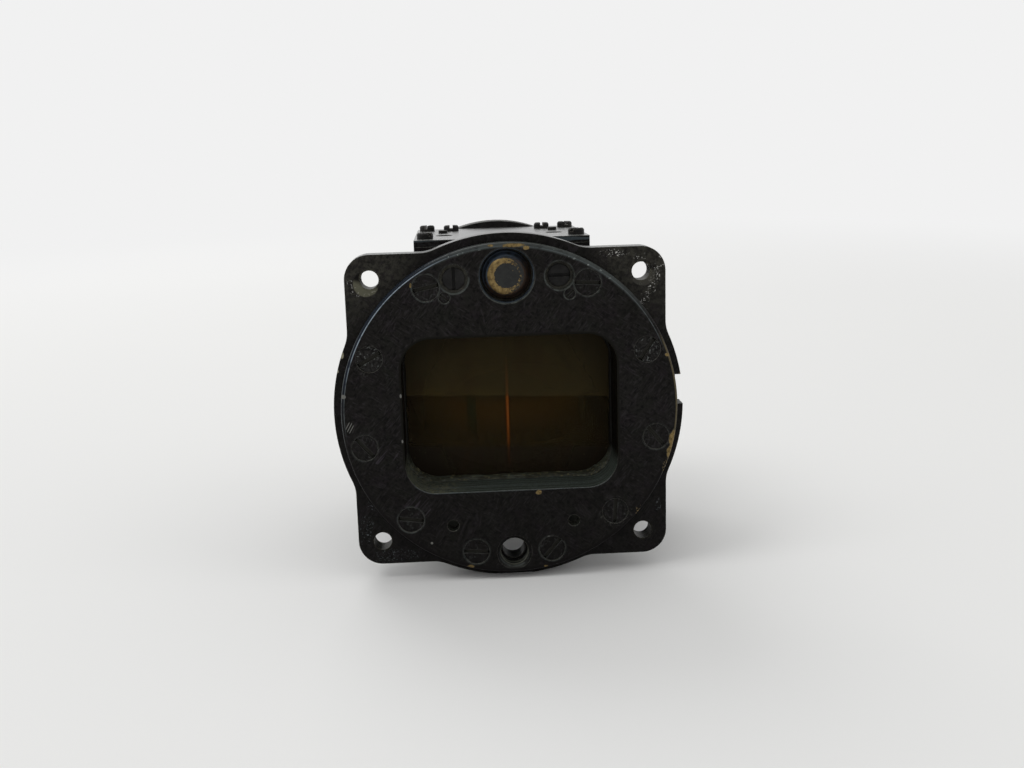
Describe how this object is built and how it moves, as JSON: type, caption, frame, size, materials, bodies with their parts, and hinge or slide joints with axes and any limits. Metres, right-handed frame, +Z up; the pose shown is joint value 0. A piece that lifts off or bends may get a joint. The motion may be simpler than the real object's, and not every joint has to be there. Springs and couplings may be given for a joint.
{
  "type": "aircraft magnetic compass",
  "caption": "Panel-mounted liquid-filled magnetic compass with a square-lobed flange, rectangular window, lamp and geared compensator on top.",
  "frame": {"origin": "middle of the flange's front face, which seats on the back of the panel; the centre of the mounting-hole square", "axes": "+X to the right of the face, +Y into the panel, +Z up; the face looks along -Y"},
  "size_m": [0.0826, 0.0753, 0.0823],
  "materials": {
    "case_paint": "worn matte black paint on a light alloy casting",
    "bezel_paint": "worn matte black paint with bare spots on the edge",
    "cover_paint": "worn satin black paint",
    "cap_paint": "glossy black paint worn to brass at the rim",
    "black_screw": "blackened steel, painted over",
    "window_glass": "aged flat glass in front of yellowed fluid",
    "light_window": "red tinted glass",
    "bulb_glass": "clear glass",
    "gasket": "aged sealant",
    "lubber_paint": "faded orange luminous paint",
    "card_paint": "matte black with faded markings",
    "float_metal": "dull spun brass",
    "brass": "turned brass",
    "bronze": "turned bronze",
    "copper": "annealed copper",
    "steel": "turned steel",
    "magnet": "ground magnet steel",
    "jewel": "polished synthetic stone",
    "insulator": "laminated board"
  },
  "bodies": {
    "case": {"mounting_flange": "case_paint", "case_casting": "case_paint", "rear_flange": "case_paint", "bezel_ring": "bezel_paint", "window_frame": "bezel_paint", "bezel_screws": "black_screw", "lock_screws": "black_screw", "glass_front_gasket": "gasket", "window_glass": "window_glass", "glass_rear_gasket": "gasket", "lubber_line": "lubber_paint", "lamp_socket": "brass", "lamp_contact": "brass", "contact_insulator": "insulator", "light_window": "light_window", "adjuster_bushes": "bronze", "gear_studs": "steel", "gear_bridge": "brass", "compensator_cover": "cover_paint", "cover_screws": "black_screw", "bridge_screws": "black_screw", "bridge_dowels": "brass", "jewel_spring": "steel", "post_cap": "brass", "jewel_post": "brass", "post_screws": "steel", "expansion_diaphragm": "float_metal", "rear_gasket": "gasket", "rear_cover": "case_paint", "rear_screws": "black_screw", "filler_plug": "bronze", "filler_washer": "copper"},
    "lamp_unit": {"lamp_cap": "cap_paint", "bulb_glass": "bulb_glass", "bulb_base": "brass"},
    "left_shaft": {"left_adjuster": "black_screw", "left_clip": "steel"},
    "left_upper_wheel": {"left_upper_gear": "brass", "left_upper_magnet": "magnet"},
    "left_lower_wheel": {"left_lower_gear": "brass", "left_lower_magnet": "magnet"},
    "right_shaft": {"right_adjuster": "black_screw", "right_clip": "steel"},
    "right_upper_wheel": {"right_upper_gear": "brass", "right_upper_magnet": "magnet"},
    "right_lower_wheel": {"right_lower_gear": "brass", "right_lower_magnet": "magnet"},
    "jewel_carriage": {"jewel_holder": "brass", "jewel_stone": "jewel"},
    "tip": {"pivot_tip": "steel"},
    "pin": {"pivot_pin": "steel"},
    "card": {"card_ring": "card_paint", "card_spider": "float_metal", "float_dome": "float_metal", "float_well": "float_metal", "card_hub": "brass", "card_magnets": "magnet", "magnet_clips": "float_metal"}
  },
  "joints": [
    {"name": "lamp_cap_out", "type": "slide", "parent": "case", "child": "lamp_unit", "axis": [0, -1, 0], "range_m": [0, 0.026]},
    {"name": "left_adjuster_turn", "type": "hinge", "parent": "case", "child": "left_shaft", "pos_m": [-0.01207, 0, 0.0314], "axis": [0, 1, 0], "continuous": true},
    {"name": "left_upper_wheel_turn", "type": "hinge", "parent": "case", "child": "left_upper_wheel", "pos_m": [-0.01207, 0.0365, 0.0314], "axis": [0, 0, 1], "continuous": true},
    {"name": "left_lower_wheel_turn", "type": "hinge", "parent": "case", "child": "left_lower_wheel", "pos_m": [-0.01207, 0.0365, 0.0314], "axis": [0, 0, 1], "continuous": true},
    {"name": "right_adjuster_turn", "type": "hinge", "parent": "case", "child": "right_shaft", "pos_m": [0.01207, 0, 0.0314], "axis": [0, 1, 0], "continuous": true},
    {"name": "right_upper_wheel_turn", "type": "hinge", "parent": "case", "child": "right_upper_wheel", "pos_m": [0.01207, 0.0365, 0.0314], "axis": [0, 0, 1], "continuous": true},
    {"name": "right_lower_wheel_turn", "type": "hinge", "parent": "case", "child": "right_lower_wheel", "pos_m": [0.01207, 0.0365, 0.0314], "axis": [0, 0, 1], "continuous": true},
    {"name": "jewel_give", "type": "slide", "parent": "case", "child": "jewel_carriage", "axis": [0, 0, 1], "range_m": [-0.0008, 0], "stiffness_N_per_m": 1500, "springref_m": 0.0004, "deforming": ["jewel_spring"]},
    {"name": "card_pitch", "type": "hinge", "parent": "jewel_carriage", "child": "tip", "pos_m": [0, 0.0365, -0.004], "axis": [1, 0, 0], "range_deg": [-18, 18]},
    {"name": "card_roll", "type": "hinge", "parent": "tip", "child": "pin", "pos_m": [0, 0.0365, -0.004], "axis": [0, 1, 0], "range_deg": [-18, 18]},
    {"name": "card_turn", "type": "hinge", "parent": "pin", "child": "card", "pos_m": [0, 0.0365, -0.004], "axis": [0, 0, 1], "continuous": true}
  ],
  "couplings": [
    {"joint": "left_upper_wheel_turn", "follows": "left_adjuster_turn", "ratio": 0.41667},
    {"joint": "left_lower_wheel_turn", "follows": "left_adjuster_turn", "ratio": -0.41667},
    {"joint": "right_upper_wheel_turn", "follows": "right_adjuster_turn", "ratio": 0.41667},
    {"joint": "right_lower_wheel_turn", "follows": "right_adjuster_turn", "ratio": -0.41667}
  ]
}
